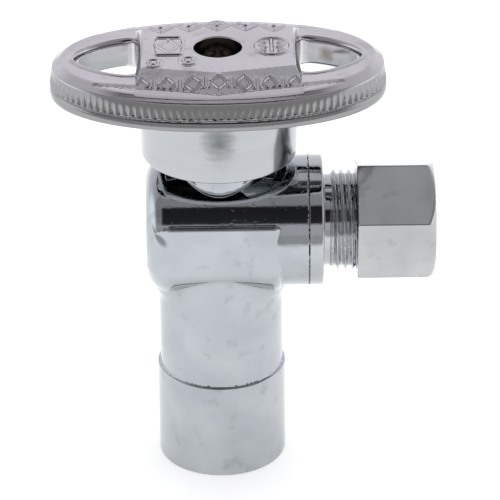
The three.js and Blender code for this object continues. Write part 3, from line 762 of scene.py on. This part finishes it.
body_chrome = plated(
    "body_chrome", (0.485, 0.51, 0.535), (0.41, 0.435, 0.46), 0.05, 0.12, wave=0.014, pits=0.012).material
retainer_chrome = plated("retainer_chrome", (0.50, 0.515, 0.53), (0.46, 0.475, 0.49), 0.04, 0.1).material
nut_chrome = plated(
    "nut_chrome", (0.51, 0.52, 0.52), (0.40, 0.41, 0.41), 0.06, 0.14, wave=0.006).material
handle_chrome = handle_finish()
ball_chrome = plated("ball_chrome", (0.6, 0.61, 0.62), (0.56, 0.57, 0.58), 0.04, 0.09).material
brass = turned_metal("brass", (0.72, 0.52, 0.22), (0.60, 0.42, 0.17), 0.22, 0.4, 2400)
screw_steel = turned_metal("screw_steel", (0.20, 0.16, 0.11), (0.11, 0.085, 0.06), 0.35, 0.6, 2600)
ptfe = moulded("ptfe", (0.86, 0.85, 0.82), (0.78, 0.77, 0.74), 0.4, 0.6)
rubber = moulded("rubber", (0.02, 0.02, 0.022), (0.035, 0.034, 0.034), 0.5, 0.75)


# ---- the model ----

def box_of(node, turned=False):
    """A node's corners in millimetres, a little larger where the node is turned."""
    low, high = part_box(node)
    grow = 0.25 if turned else 0.0
    return [v / MM - grow for v in low], [v / MM + grow for v in high]


def build(name, field, step, body, material, slack=1.25, painted_light=None):
    turned = body == "handle"
    low, high = box_of(name, turned)
    turn = HANDLE_TURN if turned else 0.0
    return piece(name, field, low, high, step, body, material, turn, slack, painted_light)


build("valve_body", valve_body, 0.275, "valve", body_chrome)
build("seat_back", seat(-1), 0.22, "valve", ptfe)
build("seat_outlet", seat(1), 0.22, "valve", ptfe)
build("outlet_retainer", outlet_retainer, 0.17, "valve", retainer_chrome, 1.6)
middle_x = RETAINER_GROOVE_END - RETAINER_GROOVE_WIDTH / 2
build("retainer_o_ring", ring_x(middle_x, PLUG_R - RETAINER_RING_R - 0.05, RETAINER_RING_R), 0.12,
      "valve", rubber)
build("handle", handle, 0.2, "handle", handle_chrome, 1.6, handle_painted_light)
build("handle_screw", handle_screw, 0.1, "handle", screw_steel)
build("stem", stem, 0.13, "handle", brass)
build("stem_thrust_washer", thrust_washer, 0.12, "handle", ptfe)
build("stem_o_ring_lower", stem_ring(GROOVE_Z[0]), 0.08, "handle", rubber)
build("stem_o_ring_upper", stem_ring(GROOVE_Z[1]), 0.08, "handle", rubber)
build("ball", ball, 0.2, "handle", ball_chrome)
build("ferrule", ferrule, 0.12, "ferrule", brass)
build("compression_nut", compression_nut, 0.17, "nut", nut_chrome)


# ---- camera, floor and light ----

def add_camera():
    """Camera at the angle of a product photograph: long lens, 28 degrees above the horizon."""
    data = bpy.data.cameras.new("camera")
    data.lens, data.sensor_width = 253.1, 36.0
    data.clip_start, data.clip_end = 0.05, 20
    camera = bpy.data.objects.new("camera", data)
    bpy.context.scene.collection.objects.link(camera)
    target = Vector((4.22, 0, 32.02)) * MM
    elevation, azimuth, roll = math.radians(28.42), math.radians(-0.57), math.radians(-0.46)
    back = Vector((
        math.sin(azimuth) * math.cos(elevation),
        -math.cos(azimuth) * math.cos(elevation),
        math.sin(elevation),
    ))
    facing = (-back).to_track_quat("-Z", "Y").to_matrix().to_4x4()
    camera.matrix_world = Matrix.Translation(target + back * 0.5) @ facing @ Matrix.Rotation(roll, 4, "Z")
    bpy.context.scene.camera = camera


def add_floor():
    """Plain pale floor that fills the view from every side; chrome mirrors its front part darker."""
    half = 6.0
    corners = [(-half, -half, 0), (half, -half, 0), (half, half, 0), (-half, half, 0)]
    mesh = bpy.data.meshes.new("floor")
    mesh.from_pydata(corners, [], [(0, 1, 2, 3)])
    floor = bpy.data.objects.new("floor", mesh)
    bpy.context.scene.collection.objects.link(floor)
    n = Nodes("floor_paint")
    parts = n.add("ShaderNodeSeparateXYZ")
    n.link(n.place, parts.inputs["Vector"])
    shade = n.remap(parts.outputs["Y"], -0.15, -0.1, 1.0, 0.0)
    shade = n.maths("MULTIPLY", shade, n.add("ShaderNodeLightPath").outputs["Is Glossy Ray"])
    n.link(n.blend(shade, (0.42, 0.425, 0.43), (0.2, 0.2, 0.2)), n.shader.inputs["Base Color"])
    n.link(n.blend(shade, (1, 1, 1), (0.36, 0.36, 0.36)), n.shader.inputs["Emission Color"])
    n.shader.inputs["Emission Strength"].default_value = 0.6
    n.shader.inputs["Roughness"].default_value = 0.9
    n.shader.inputs["Specular IOR Level"].default_value = 0.1
    mesh.materials.append(n.material)


# Brightness of the studio from the front horizon over the top to the back horizon, by angle: beside the
# valve's middle, then towards its two ends.
STUDIO_MIDDLE = (
    (0, 0.62), (17, 0.62), (21, 0.03), (50, 0.02), (53, 0.36), (68, 0.38), (72, 0.52), (83, 0.52),
    (87, 0.06), (97, 0.06), (102, 0.64), (120, 0.68), (150, 0.9), (180, 1.0),
)
STUDIO_ENDS = ((0, 0.5), (17, 0.5), (24, 0.34), (74, 0.36), (84, 0.6), (120, 0.68), (150, 0.9), (180, 1.0))
END_GLOW = (1.4, 1.42, 1.45, 1)


def add_studio():
    """Soft white room with long dark flags and grey strips that run beside the valve."""
    world = bpy.data.worlds.new("studio")
    world.use_nodes = True
    bpy.context.scene.world = world
    tree = world.node_tree
    add, link = tree.nodes.new, tree.links.new

    def maths(operation, a, b=None):
        node = add("ShaderNodeMath")
        node.operation = operation
        for socket, value in zip(node.inputs, (a, b)):
            if isinstance(value, (int, float)):
                socket.default_value = value
            elif value is not None:
                link(value, socket)
        return node.outputs["Value"]

    def bands(over, levels):
        node = add("ShaderNodeValToRGB")
        link(over, node.inputs["Fac"])
        stops = node.color_ramp.elements
        while len(stops) < len(levels):
            stops.new(0.5)
        for stop, (angle, level) in zip(stops, levels):
            stop.position = angle / 180
            stop.color = (level, level * 0.99, level * 1.03, 1)
        return node.outputs["Color"]

    def fade(value, start, end, first, second):
        mask = add("ShaderNodeMapRange")
        mask.interpolation_type = "SMOOTHSTEP"
        for key, number in (("From Min", start), ("From Max", end), ("To Min", 0), ("To Max", 1)):
            mask.inputs[key].default_value = number
        link(value, mask.inputs["Value"])
        mix = add("ShaderNodeMix")
        mix.data_type = "RGBA"
        link(mask.outputs["Result"], mix.inputs["Factor"])
        link(first, mix.inputs["A"])
        if isinstance(second, tuple):
            mix.inputs["B"].default_value = second
        else:
            link(second, mix.inputs["B"])
        return mix.outputs["Result"]

    parts = add("ShaderNodeSeparateXYZ")
    link(add("ShaderNodeTexCoord").outputs["Generated"], parts.inputs["Vector"])
    x, y, z = (parts.outputs[axis] for axis in "XYZ")
    over = maths("DIVIDE", maths("ARCTAN2", z, maths("MULTIPLY", y, -1)), math.pi)
    aside = maths("ABSOLUTE", x)
    colour = fade(aside, 0.3, 0.55, bands(over, STUDIO_MIDDLE), bands(over, STUDIO_ENDS))
    link(fade(aside, 0.82, 0.97, colour, END_GLOW), tree.nodes["Background"].inputs["Color"])


def add_sun():
    """Broad overhead light for the floor and the plain materials; chrome mirrors only the studio."""
    light = bpy.data.lights.new("overhead", "SUN")
    light.energy, light.angle = 3.0, math.radians(80)
    sun = bpy.data.objects.new("overhead", light)
    sun.rotation_euler = (math.radians(-12), math.radians(8), 0)
    sun.visible_glossy = False
    bpy.context.scene.collection.objects.link(sun)


add_camera()
add_floor()
add_studio()
add_sun()
bpy.context.scene.view_settings.view_transform = "Standard"
